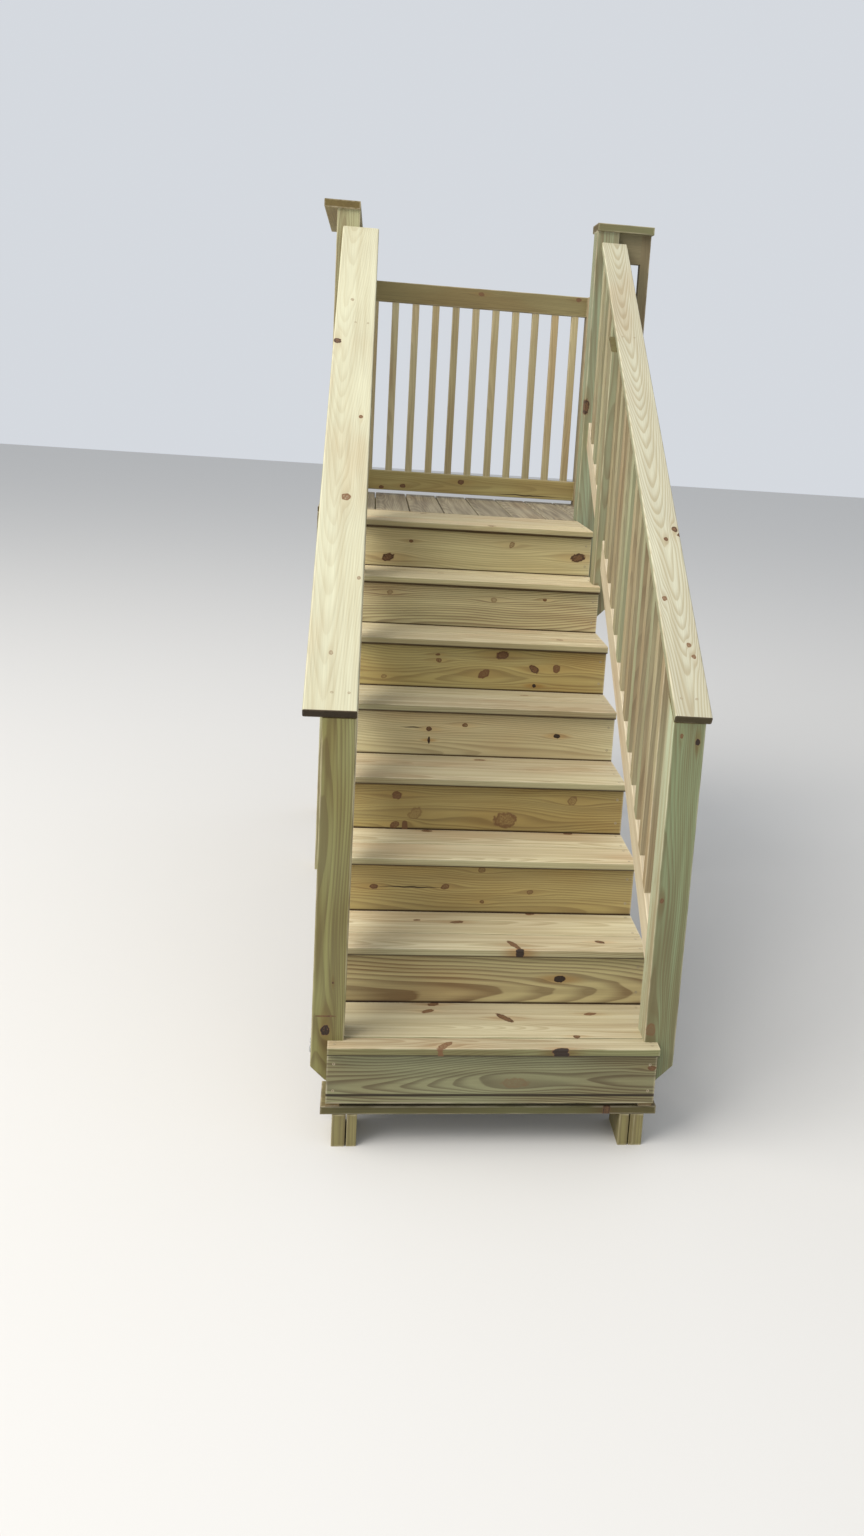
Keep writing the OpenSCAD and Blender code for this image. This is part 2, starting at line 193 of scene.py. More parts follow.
sky = bpy.data.worlds.new("overcast sky")
bpy.context.scene.world = sky
sky.use_nodes = True
sky.node_tree.nodes["Background"].inputs["Color"].default_value = SKY_TONE
sky.node_tree.nodes["Background"].inputs["Strength"].default_value = SKY_STRENGTH
panel = bpy.data.objects.new("panel", bpy.data.lights.new("panel", "AREA"))
bpy.context.scene.collection.objects.link(panel)
panel.data.size = PANEL_SIDE
panel.data.energy = PANEL_WATTS
panel.data.color = PANEL_TONE
panel.location = PANEL_PLACE
panel.rotation_euler = (PANEL_TARGET - PANEL_PLACE).to_track_quat("-Z", "Y").to_euler()
bpy.context.scene.view_settings.view_transform = "Standard"
print("panel", round((PANEL_TARGET - PANEL_PLACE).length, 2), "m from the middle of the flight")

# %% [markdown]
# ## Where a board lies in the tree
# Pine shows its growth rings as lines. Cut through the middle of the log they run straight along
# the board, and cut near its outside they make long arches. Lines painted on each face would
# never meet at the edges, so the rings are made in space instead: thin cones round the middle of
# the tree, which the board's faces then cut by themselves. A tree gets thinner towards its top
# and its middle wanders, and that is what closes the lines into arches.

# %% The noises and sizes of the grain
# A noise is a scale, a detail, a roughness and a stretch, which is smallest along the grain. The
# wander needs two values at once, so it also names the colour output.
RIPPLE = (30.0, 1.0, 0.5, (0.05, 1, 1))
FIBRE = (260.0, 2.0, 0.6, (0.02, 1, 1))
STREAK = (42.0, 2.0, 0.55, (0.035, 1, 1))
TONE = (5.0, 2.0, 0.5, (0.35, 1, 1))
WANDER = (1.0, 1.0, 0.5, (1.3, 3.0, 3.0), "Color")
BOARDS_APART = 3.7
# The tree's middle lies within this share of the board's width, and this far from its back
MIDDLE_FROM = 0.2
MIDDLE_RANGE = 0.6
DEPTH_FROM = 0.02
DEPTH_RANGE = 0.04
RIPPLE_YEARS = 1.1
# Shares of a year: late wood darkens slowly, and ends at a sharp edge
LATE_GROWS = (0.25, 0.88)
LATE_ENDS = (0.9, 1.0)
KINDS = {"Place": "Vector", "Centre": "Vector", "Chance": "Color"}


def group(name, inputs, outputs):
    """An empty node group with its sockets, which are plain numbers unless KINDS names them."""
    tree = bpy.data.node_groups.new(name, "ShaderNodeTree")
    for direction, labels in (("INPUT", inputs), ("OUTPUT", outputs)):
        for label in labels:
            kind = "NodeSocket" + KINDS.get(label, "Float")
            tree.interface.new_socket(label, in_out=direction, socket_type=kind)
    return tree, tree.nodes.new("NodeGroupInput").outputs, tree.nodes.new("NodeGroupOutput").inputs


def length_of(tree, first, second):
    """The length of the slanting side over two square sides."""
    squares = calc(tree, "MULTIPLY_ADD", first, first, calc(tree, "MULTIPLY", second, second))
    return calc(tree, "SQRT", squares)


# %% Growth rings
def make_rings():
    """Rings, fibres and slow changes of tone, read in a board's own space: X along the grain."""
    tree, given, made = group("growth rings", ("Place", "Board", "Width", "Ring", "Taper", "Wander"),
                              ("Late wood", "Fibre", "Streak", "Tone", "Chance"))
    chance = put(tree, "TexWhiteNoise", None, given["Board"], noise_dimensions="1D").outputs["Color"]
    luck = put(tree, "SeparateColor", chance).outputs
    far = calc(tree, "MULTIPLY", given["Board"], BOARDS_APART)
    moved = shift(tree, given["Place"], far, far, 0.0)
    axis = put(tree, "SeparateXYZ", given["Place"]).outputs
    drift = put(tree, "SeparateColor", noise(tree, moved, *WANDER)).outputs

    # How far a point is from the middle of the tree, across the board and through it
    share = calc(tree, "MULTIPLY_ADD", luck[0], MIDDLE_RANGE, MIDDLE_FROM)
    across = calc(tree, "SUBTRACT", axis["Y"], calc(tree, "MULTIPLY", given["Width"], share))
    across = calc(tree, "MULTIPLY_ADD", drift[0], given["Wander"], across)
    through = calc(tree, "SUBTRACT", DEPTH_FROM, axis["Z"])
    through = calc(tree, "MULTIPLY_ADD", luck[1], DEPTH_RANGE, through)
    through = calc(tree, "MULTIPLY_ADD", drift[1], given["Wander"], through)
    reach = calc(tree, "MULTIPLY_ADD", axis["X"], given["Taper"], length_of(tree, across, through))

    # Which year's ring that is, and which part of the year
    years = calc(tree, "DIVIDE", reach, given["Ring"])
    years = calc(tree, "MULTIPLY_ADD", noise(tree, moved, *RIPPLE), RIPPLE_YEARS, years)
    part = calc(tree, "FRACT", years)
    late = calc(tree, "SUBTRACT", step_over(tree, part, *LATE_GROWS), step_over(tree, part, *LATE_ENDS))
    tree.links.new(late, made["Late wood"])
    tree.links.new(noise(tree, moved, *FIBRE), made["Fibre"])
    tree.links.new(noise(tree, moved, *STREAK), made["Streak"])
    tree.links.new(noise(tree, moved, *TONE), made["Tone"])
    tree.links.new(chance, made["Chance"])
    return tree


RINGS = make_rings()
print("ring group nodes:", len(RINGS.nodes))

# %% [markdown]
# ## Knots
# A knot is a branch that the saw went through. The lines of the grain part around it, it has a
# mottled brown heart and a dark rim of bark, and resin stains the wood along the grain before and
# behind it. One small group makes one knot. It pushes the place that the rings are read at, so
# the rings flow round the knot, and it passes the darkest knot so far on to the next one.
# A knot is written as six numbers: its place along and across the board and its radius in metres,
# its turn, how many times longer than wide it is, and how dark.

# %% One knot
# Steps over the distance from the middle of the knot, counted in its own radii
HEART = (1.25, 0.6)
RIM_INSIDE = (0.45, 0.85)
RIM_OUTSIDE = (1.25, 0.9)
RIM_DARK = 0.95
STAIN = (2.2, 0.5)
STAIN_LONGER = 4.5
PUSH = (3.4, 0.3, 0.0, -0.92)
# A branch gets thinner towards the middle of a thick post and ends there
BRANCH_ENDS = (0.06, 0.03)
RAGGED = (90.0, 2.0)
RAGGED_RADII = 0.9
MOTTLES = (220.0, 2.0)
MOTTLE_DARK = 1.2
MOTTLE_LEAST = 0.1


def make_knot():
    """One knot, which adds its darkness and its stain to those before it."""
    tree, given, made = group(
        "knot", ("Place", "Dark", "Stain", "Centre", "Radius", "Turn", "Stretch", "Strength"),
        ("Place", "Dark", "Stain"))
    off = put(tree, "VectorMath", given["Place"], given["Centre"], operation="SUBTRACT").outputs[0]
    flat = put(tree, "VectorMath", off, (1.0, 1.0, 0.0), operation="MULTIPLY").outputs[0]
    depth = put(tree, "SeparateXYZ", off).outputs["Z"]
    strength = calc(tree, "MULTIPLY", given["Strength"], step_over(tree, depth, *BRANCH_ENDS))

    # The dark heart and its rim, on a turned and stretched circle with a ragged edge
    turned = put(tree, "VectorRotate", flat, None, None, given["Turn"], rotation_type="Z_AXIS").outputs[0]
    axis = put(tree, "SeparateXYZ", turned).outputs
    reach = length_of(tree, calc(tree, "DIVIDE", axis["X"], given["Stretch"]), axis["Y"])
    reach = calc(tree, "DIVIDE", reach, given["Radius"])
    ragged = calc(tree, "SUBTRACT", noise(tree, given["Place"], *RAGGED), 0.5)
    reach = calc(tree, "MULTIPLY_ADD", ragged, RAGGED_RADII, reach)
    mottled = calc(tree, "MULTIPLY_ADD", noise(tree, given["Place"], *MOTTLES), MOTTLE_DARK, MOTTLE_LEAST)
    heart = calc(tree, "MULTIPLY", step_over(tree, reach, *HEART), mottled)
    inside = step_over(tree, reach, *RIM_INSIDE)
    rim = calc(tree, "MULTIPLY", inside, step_over(tree, reach, *RIM_OUTSIDE))
    dark = calc(tree, "MAXIMUM", heart, calc(tree, "MULTIPLY", rim, RIM_DARK))
    dark = calc(tree, "MULTIPLY", dark, strength)
    tree.links.new(calc(tree, "MAXIMUM", dark, given["Dark"]), made["Dark"])

    # The stain and the parting of the grain, which are long and unturned
    plain = put(tree, "SeparateXYZ", flat).outputs
    spread = length_of(tree, calc(tree, "DIVIDE", plain["X"], STAIN_LONGER), plain["Y"])
    spread = calc(tree, "DIVIDE", spread, given["Radius"])
    stain = calc(tree, "MULTIPLY", step_over(tree, spread, *STAIN), strength)
    tree.links.new(calc(tree, "MAXIMUM", stain, given["Stain"]), made["Stain"])
    push = calc(tree, "MULTIPLY", plain["Y"], step_over(tree, spread, *PUSH))
    tree.links.new(shift(tree, given["Place"], 0.0, push, 0.0), made["Place"])
    return tree


KNOT = make_knot()
print("knot group nodes:", len(KNOT.nodes))

# %% [markdown]
# ## Checks
# A check is a thin crack that opens along the grain as a board dries. It could be cut into the
# board, but it is only a few millimetres wide, so a dark line that thins out at both ends and sinks
# a little does the same. It is written as four numbers: its place along and across the board, half
# its length and half its width.

# %% One check
CHECK_WAVE = (14.0, 2.0, 0.5, (1, 0, 0))
WAVE_HEIGHT = 0.012
THINNEST = 0.0001
CHECK_SIDES = (1.3, 0.5)
CHECK_TIP = 0.02


def make_check():
    """One check, which adds its darkness to that of those before it."""
    tree, given, made = group(
        "check", ("Place", "Dark", "Centre", "Half length", "Half width"), ("Dark",))
    off = put(tree, "VectorMath", given["Place"], given["Centre"], operation="SUBTRACT").outputs[0]
    axis = put(tree, "SeparateXYZ", off).outputs
    wave = noise(tree, given["Place"], *CHECK_WAVE)
    wave = calc(tree, "MULTIPLY_ADD", wave, WAVE_HEIGHT, -WAVE_HEIGHT / 2)
    away = calc(tree, "ABSOLUTE", calc(tree, "ADD", axis["Y"], wave))
    ends = step_over(tree, calc(tree, "ABSOLUTE", axis["X"]), given["Half length"], 0.0)
    width = calc(tree, "MAXIMUM", calc(tree, "MULTIPLY", given["Half width"], ends), THINNEST)
    line = step_over(tree, calc(tree, "DIVIDE", away, width), *CHECK_SIDES)
    line = calc(tree, "MULTIPLY", line, calc(tree, "GREATER_THAN", ends, CHECK_TIP))
    tree.links.new(calc(tree, "MAXIMUM", line, given["Dark"]), made["Dark"])
    return tree


CHECK = make_check()
print("check group nodes:", len(CHECK.nodes))

# %% [markdown]
# ## Edges and ends
# Handling rubs the long edges of a board first, so they turn smoother than its faces, and they are made
# paler both as wear and as a painted highlight along the arrises. The narrow edges took up more of the
# treatment and are greener, and they are also darker as painted shade. The sawn ends drink the treatment
# in and stay darkest. A board is a box in its own space, so a point is close to an edge when the second
# smallest of its three distances to the box's sides is small.

# %% Closeness to an edge
RUB_AND_HIGHLIGHT_REACH = (0.006, 0.001)
RUB_AND_HIGHLIGHT_PATCHES = (35.0, 2.0, 0.5, (0.3, 1, 1))
RUB_AND_HIGHLIGHT_BROKEN = (0.25, 0.7)
FACE_TURN = (0.55, 0.85)


def gap_to_sides(tree, value, *sides):
    """Distance to the nearest of several parallel sides."""
    gap = calc(tree, "ABSOLUTE", calc(tree, "SUBTRACT", value, sides[0]))
    for side in sides[1:]:
        gap = calc(tree, "MINIMUM", gap, calc(tree, "ABSOLUTE", calc(tree, "SUBTRACT", value, side)))
    return gap


def near_edge(tree, place, size, seams):
    """Near 1 on the arrises of a board, broken up as rubbing does it; it carries wear and a painted
    highlight.
    """
    axis = put(tree, "SeparateXYZ", place).outputs
    long_gap = gap_to_sides(tree, axis["X"], 0.0, size.x)
    side_gap = gap_to_sides(tree, axis["Y"], 0.0, size.y, *seams)
    deep_gap = gap_to_sides(tree, axis["Z"], 0.0, size.z)
    inner = calc(tree, "MINIMUM", calc(tree, "MAXIMUM", long_gap, side_gap), deep_gap)
    second = calc(tree, "MAXIMUM", calc(tree, "MINIMUM", long_gap, side_gap), inner)
    broken = step_over(tree, noise(tree, place, *RUB_AND_HIGHLIGHT_PATCHES), *RUB_AND_HIGHLIGHT_BROKEN)
    return calc(tree, "MULTIPLY", step_over(tree, second, *RUB_AND_HIGHLIGHT_REACH), broken)


def facing(tree, direction):
    """Near 1 on the faces that look along a direction or against it."""
    normal = put(tree, "TexCoord").outputs["Normal"]
    dot = put(tree, "VectorMath", normal, direction, operation="DOT_PRODUCT").outputs["Value"]
    return step_over(tree, calc(tree, "ABSOLUTE", dot), *FACE_TURN)


# %% [markdown]
# ## Colours of the wood
# A board has two colours, one for the quick growth of spring and one for the lines of late wood.
# Everything else lies over them as a glaze: resin, the green of the treatment, the rubbed edges with a
# painted highlight, and dirt with painted shade. The boards of one kind are made a little lighter or
# darker each, for their own tone and as painted light and shade.

# %% Tones
PALE_TREAD = (rgb(0.68, 0.59, 0.385), rgb(0.46, 0.36, 0.205))
PALE_CAP = (rgb(0.74, 0.655, 0.45), rgb(0.56, 0.45, 0.27))
BROWN_RISER = (rgb(0.335, 0.25, 0.115), rgb(0.215, 0.145, 0.062))
GREY_RISER = (rgb(0.34, 0.275, 0.165), rgb(0.235, 0.175, 0.10))
FIGURED_RISER = (rgb(0.38, 0.32, 0.19), rgb(0.17, 0.115, 0.06))
GREEN_POST = (rgb(0.33, 0.31, 0.15), rgb(0.19, 0.145, 0.06))
SAGE_POST = (rgb(0.345, 0.355, 0.21), rgb(0.245, 0.195, 0.10))
WARM_SPINDLE = (rgb(0.36, 0.30, 0.175), rgb(0.245, 0.19, 0.105))
SAGE_SPINDLE = (rgb(0.32, 0.305, 0.18), rgb(0.225, 0.20, 0.11))
SHADED_GUARD = (rgb(0.33, 0.25, 0.13), rgb(0.225, 0.16, 0.075))
GREY_DECK = (rgb(0.42, 0.36, 0.24), rgb(0.20, 0.16, 0.105))
KNOT_BROWN = rgb(0.17, 0.085, 0.035)
KNOT_DARK = rgb(0.028, 0.016, 0.009)
CRACK_DARK = rgb(0.05, 0.03, 0.015)
RESIN = rgb(0.80, 0.58, 0.40)
# Dirt and painted shade, drawn as thin dark lines where boards meet or overhang
DIRT_AND_SHADE = rgb(0.14, 0.10, 0.07)
BLUSH = rgb(1.0, 0.92, 0.86)
TREATMENT = rgb(0.40, 0.50, 0.30)
# Rubbed arrises: paler as wear and as a painted highlight
RUBBED_AND_HIGHLIGHT = rgb(0.80, 0.70, 0.50)
# Narrow edges: greener from the treatment and darker as painted shade
NARROW_TINT_AND_SHADE = rgb(0.46, 0.52, 0.36)
END_TINT = rgb(0.42, 0.36, 0.20)


def tone_and_light(tones, *amounts):
    """A pair of tones made lighter or darker, by one amount or by one for each colour channel, for the
    board's own tone and as painted light and shade.
    """
    red, green, blue = amounts if len(amounts) == 3 else amounts * 3
    return tuple(rgb(tone[0] * red, tone[1] * green, tone[2] * blue) for tone in tones)


# %% [markdown]
# ## How a board lies
# The boards of the frame share one space, so a pattern fixed in that space runs on round every
# edge. Each board only needs to know how that space turns into its own, with X along the grain,
# Y across the board and Z through it, and which corner it is measured from.

# %% The turn into a board's own space
EAST = Vector((1, 0, 0))
NORTH = Vector((0, 1, 0))
UP = Vector((0, 0, 1))


def corners_of(node):
    """The low and the high corner of a node's box."""
    return [Vector(corner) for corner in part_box(node)]


def lie(node, along, across):
    """How the boards of a node lie: the turn into their own space, and their corner and size there."""
    turn = Matrix((along, across, along.cross(across)))
    ends = [turn @ corner for corner in corners_of(node)]
    corner = Vector([min(pair) for pair in zip(*ends)])
    size = Vector([abs(pair[1] - pair[0]) for pair in zip(*ends)])
    return turn, corner, size


def lie_slanted(along, across, corner, size):
    """The same for a slanted board, given its corner and its size along, across and through."""
    turn = Matrix((along, across, along.cross(across)))
    return turn, turn @ Vector(corner), Vector(size)


print("a tread is", lie("tread_1", EAST, NORTH)[2], "m long, deep and thick")

# %% [markdown]
# ## Finding the board
# Where one node holds several boards, the place along which they lie side by side picks the
# board, and each gets its own luck. Seams are given one by one, and boards at an even spacing by
# their pitch. In a panel, the boards that run the other way have their length and width swapped.

# %% What lies on one board
def add_knots(tree, place, knots):
    """A place pushed round the knots, how dark they make it and how much resin stains it."""
    dark = 0.0
    stained = 0.0
    for x, y, radius, turned, stretch, strength in knots:
        knot = put(tree, "Group", node_tree=KNOT)
        fill(tree, knot.inputs, (place, dark, stained, (x, y, 0.0), radius, turned, stretch, strength))
        place, dark, stained = knot.outputs
    return place, dark, stained


def add_checks(tree, place, checks):
    """How dark the checks make a place."""
    cracked = 0.0
    for x, y, half_length, half_width in checks:
        check = put(tree, "Group", node_tree=CHECK)
        fill(tree, check.inputs, (place, cracked, (x, y, 0.0), half_length, half_width))
        cracked = check.outputs[0]
    return cracked


def find_board(tree, side, place, seed, seams, pitch):
    """The number of the board at a distance from the side, and the place measured from that board."""
    board = seed
    previous = 0.0
    for edge in seams:
        beyond = calc(tree, "GREATER_THAN", side, edge)
        board = calc(tree, "ADD", board, beyond)
        place = shift(tree, place, 0.0, calc(tree, "MULTIPLY", beyond, previous - edge), 0.0)
        previous = edge
    if pitch:
        cell = calc(tree, "FLOOR", calc(tree, "DIVIDE", side, pitch))
        board = calc(tree, "ADD", cell, seed)
        place = shift(tree, place, 0.0, calc(tree, "MULTIPLY", cell, -pitch), 0.0)
    return board, place


def turn_crossed(tree, place, crossed):
    """Length and width change places between two heights of a node, where its boards run across."""
    for low, high in crossed:
        axis = put(tree, "SeparateXYZ", place).outputs
        inside = calc(tree, "MULTIPLY", calc(tree, "GREATER_THAN", axis["X"], low),
                      calc(tree, "LESS_THAN", axis["X"], high))
        turned = put(tree, "CombineXYZ", axis["Y"], axis["X"], axis["Z"]).outputs[0]
        place = mix_colour(tree, inside, place, turned)
    return place


# %% [markdown]
# ## The wood of one board
# Each board could have a finish of its own, but they would soon drift apart. So they all have the
# same recipe with other numbers. Width and ring are in metres, taper and wander bend the rings,
# figure and streaks say how strongly the lines show, and green how much of the treatment is seen.
# Narrow tints the narrow edges greener and darker, partly as painted shade, and face darkens the wide
# faces as painted shade. Other is a second pair of tones that some boards of a node get instead. The
# last is a thin dark line of dirt and painted shade, given by an axis, a place on it and how far it
# reaches.

# %% Steps and shares of the recipe
STREAK_STEP = (0.3, 0.75)
OTHER_STEP = (0.4, 0.6)
GREEN_STEP = (0.35, 0.7)
BLUSH_STEP = (0.48, 0.3, 0.0, 0.8)
BROWN_STEP = (0.0, 0.45)
BLACK_STEP = (0.45, 0.95)
RUBBED_AND_HIGHLIGHT_SHARE = 0.3
DIRT_AND_SHADE_CORE = 0.3
# How much lighter a fibre, a board or a patch can be than its darkest, and that darkest
FIBRE_SHADE = (0.34, 0.83)
BOARD_SHADE = (0.16, 0.92)
PATCH_SHADE = (0.3, 0.85)
# The surface: how rough the wood is, and how high the parts of it stand
ROUGH = 0.84
ROUGH_LATE = -0.12
ROUGH_RUBBED = -0.15
HIGH_LATE = 0.35
HIGH_FIBRE = 0.5
HIGH_SAWN = 0.6
HIGH_CHECK = -3.0
SAW_MARKS = (700.0, 1.0)
GRAIN_STRENGTH = 0.5
GRAIN_RELIEF = 0.0008


def colour_of(tree, grain, luck, tones, other, figure, streaks, green):
    """The two colours of the wood in its lines, with the treatment and a pink blush."""
    lines = calc(tree, "MULTIPLY_ADD", step_over(tree, grain["Streak"], *STREAK_STEP), streaks,
                 calc(tree, "MULTIPLY", grain["Late wood"], figure))
    lines = calc(tree, "MINIMUM", lines, 1.0)
    colour = mix_colour(tree, lines, *tones)
    if other:
        share = step_over(tree, luck[1], *OTHER_STEP)
        colour = mix_colour(tree, share, colour, mix_colour(tree, lines, *other))
    share = calc(tree, "MULTIPLY", step_over(tree, grain["Tone"], *GREEN_STEP), green)
    colour = mix_colour(tree, share, colour, TREATMENT)
    return tint(tree, step_over(tree, grain["Tone"], *BLUSH_STEP), colour, BLUSH)


def shade_of(tree, grain, luck):
    """A grey that says how light a fibre, a board and a patch are."""
    shade = calc(tree, "MULTIPLY_ADD", grain["Fibre"], *FIBRE_SHADE)
    shade = calc(tree, "MULTIPLY", shade, calc(tree, "MULTIPLY_ADD", luck[2], *BOARD_SHADE))
    shade = calc(tree, "MULTIPLY", shade, calc(tree, "MULTIPLY_ADD", grain["Tone"], *PATCH_SHADE))
    return put(tree, "CombineColor", shade, shade, shade).outputs[0]


# %% The recipe
def wood(name, board_lie, tones, seed, width=0.14, ring=0.0055, taper=0.02, wander=0.06, figure=0.5,
         green=0.15, streaks=0.5, narrow=0.6, face=None, seams=(), pitch=None, other=None, crossed=(),
         knots=(), checks=(), stain=0.5, grime=()):
    """A wood material for boards that lie as board_lie says."""
    material, tree, inputs = new_finish(name)
    turn, corner, size = board_lie
    along, across, through = turn
    seen = put(tree, "TexCoord").outputs["Object"]
    raw = put(tree, "Mapping", seen, -corner, turn.to_euler()).outputs[0]
    place, dark, stained = add_knots(tree, raw, knots)
    cracked = add_checks(tree, raw, checks)
    side = put(tree, "SeparateXYZ", raw).outputs["Y"]
    board, place = find_board(tree, side, place, seed, seams, pitch)
    place = turn_crossed(tree, place, crossed)

    # Lines, colour of the board, treatment and resin
    rings = put(tree, "Group", node_tree=RINGS)
    fill(tree, rings.inputs, (place, board, width, ring, taper, wander))
    grain = rings.outputs
    luck = put(tree, "SeparateColor", grain["Chance"]).outputs
    colour = colour_of(tree, grain, luck, tones, other, figure, streaks, green)
    if knots:
        colour = tint(tree, calc(tree, "MULTIPLY", stained, stain), colour, RESIN)
    colour = tint(tree, 1.0, colour, shade_of(tree, grain, luck))

    # Narrow edges and wide faces with painted shade, sawn ends, and rubbed arrises with a painted
    # highlight
    if narrow:
        colour = tint(tree, calc(tree, "MULTIPLY", facing(tree, across), narrow), colour, NARROW_TINT_AND_SHADE)
    if face:
        colour = tint(tree, facing(tree, through), colour, face)
    ends = facing(tree, along)
    colour = tint(tree, ends, colour, END_TINT)
    worn_and_highlight = near_edge(tree, place if pitch else raw, size, seams)
    colour = mix_colour(tree, calc(tree, "MULTIPLY", worn_and_highlight, RUBBED_AND_HIGHLIGHT_SHARE), colour, RUBBED_AND_HIGHLIGHT)

    # Dirt with painted shade, knots and checks lie over all of it
    for axis_name, edge, reach in grime:
        depth = put(tree, "SeparateXYZ", raw).outputs[axis_name]
        gap = calc(tree, "ABSOLUTE", calc(tree, "SUBTRACT", depth, edge))
        colour = tint(tree, step_over(tree, gap, reach, reach * DIRT_AND_SHADE_CORE), colour, DIRT_AND_SHADE)
    if knots:
        colour = mix_colour(tree, step_over(tree, dark, *BROWN_STEP), colour, KNOT_BROWN)
        colour = mix_colour(tree, step_over(tree, dark, *BLACK_STEP), colour, KNOT_DARK)
    if checks:
        colour = mix_colour(tree, cracked, colour, CRACK_DARK)
    tree.links.new(colour, inputs["Base Color"])

    # Roughness and relief
    rough = calc(tree, "MULTIPLY_ADD", grain["Late wood"], ROUGH_LATE, ROUGH)
    rough = calc(tree, "MULTIPLY_ADD", worn_and_highlight, ROUGH_RUBBED, rough)
    tree.links.new(rough, inputs["Roughness"])
    height = calc(tree, "MULTIPLY", grain["Fibre"], HIGH_FIBRE)
    height = calc(tree, "MULTIPLY_ADD", grain["Late wood"], HIGH_LATE, height)
    sawn = calc(tree, "MULTIPLY", noise(tree, raw, *SAW_MARKS), HIGH_SAWN)
    height = calc(tree, "MULTIPLY_ADD", ends, sawn, height)
    if checks:
        height = calc(tree, "MULTIPLY_ADD", cracked, HIGH_CHECK, height)
    relief(tree, height, GRAIN_STRENGTH, GRAIN_RELIEF)
    return material


def dress(node, name, board_lie, tones, seed, **looks):
    """Gives the boards of a node their wood."""
    material = wood(name, board_lie, tones, seed, **looks)
    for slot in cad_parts[node].material_slots:
        slot.material = material


# %% [markdown]
# ## Treads
# The treads are pale and clean, because rain and feet haven't reached them yet. Each is made a little
# lighter or darker, for its own tone and as painted light and shade. The first one starts with a narrow
# strip, the second with a board that was ripped down, and the last one has a third board that meets the
# landing. Their knots are given from the tread's left end and back from its nosing. A thin dark line of
# dirt and painted shade runs along the lower edge of each nosing, and the narrow faces are darkened as
# painted shade, most on the first tread.

# %% Treads
SEAM = 0.003
TREAD_D = 0.278
TREAD_T = 0.025
# Painted shade and dirt along the lower edge of each nosing
TREAD_DIRT_AND_SHADE = (("Z", 0.0, 0.008),)
FRONT_BOARDS = (0.064, 0.112, 0.14, 0.14, 0.14, 0.14, 0.14, 0.14)
# Each tread's brightness: its own tone and painted light and shade
TREAD_TONE_AND_LIGHT = (0.76, 0.85, 0.93, 0.81, 0.81, 1.0, 1.15, 1.02)
# How strongly each tread's narrow faces are tinted, with painted shade, most on the first tread
TREAD_NARROW_AND_SHADE = (1.0, 0.5, 0.5, 0.5, 0.5, 0.5, 0.5, 0.5)
TREAD_KNOTS = (
    ((0.295, 0.266, 0.010, -0.4, 1.6, 0.7), (0.278, 0.222, 0.009, -0.5, 2.0, 0.6),
     (0.497, 0.182, 0.010, 0.9, 3.0, 0.8), (0.317, 0.018, 0.010, -0.8, 2.6, 0.5),
     (0.636, -0.004, 0.0085, 0.0, 2.6, 1.7), (0.69, 0.074, 0.006, 0.0, 1.6, 0.8),
     (0.749, 0.212, 0.008, -0.2, 2.2, 0.6)),
    ((0.366, 0.199, 0.009, -0.1, 2.0, 0.7), (0.245, 0.209, 0.006, 0.0, 1.8, 0.5),
     (0.522, 0.035, 0.009, 1.1, 3.2, 0.7), (0.537, -0.001, 0.007, 0.0, 1.5, 1.7),
     (0.782, 0.066, 0.008, 0.5, 1.6, 0.8), (0.594, 0.272, 0.009, 0.0, 1.5, 0.6)),
    ((0.277, 0.262, 0.009, 0.0, 1.8, 0.6), (0.738, 0.27, 0.008, 0.0, 1.8, 0.6)),
    ((0.456, 0.237, 0.008, 0.0, 2.2, 0.5),),
    ((0.62, 0.21, 0.006, 0.0, 2.4, 0.35),),
    ((0.753, 0.098, 0.007, 0.0, 1.8, 0.6),),
    ((0.33, 0.16, 0.006, 0.0, 2.0, 0.35),),
    ((0.52, 0.012, 0.009, 0.0, 1.6, 0.7), (0.27, 0.36, 0.008, 0.0, 1.8, 0.5)),
)
TREAD_ROWS = zip(FRONT_BOARDS, TREAD_TONE_AND_LIGHT, TREAD_NARROW_AND_SHADE, TREAD_KNOTS)
for number, (front, tread_light_and_tone, narrow, knots) in enumerate(TREAD_ROWS, start=1):
    node = f"tread_{number}"
    seams = [front + SEAM / 2]
    if number == len(FRONT_BOARDS):
        seams.append(TREAD_D + SEAM / 2)
    dress(node, f"tread {number} pine", lie(node, EAST, NORTH), tone_and_light(PALE_TREAD, tread_light_and_tone), seed=number * 7.0,
          figure=0.6, streaks=0.8, green=0.1, narrow=narrow, seams=seams, knots=knots,
          grime=TREAD_DIRT_AND_SHADE)
print("knots on the treads:", sum(len(knots) for knots in TREAD_KNOTS))
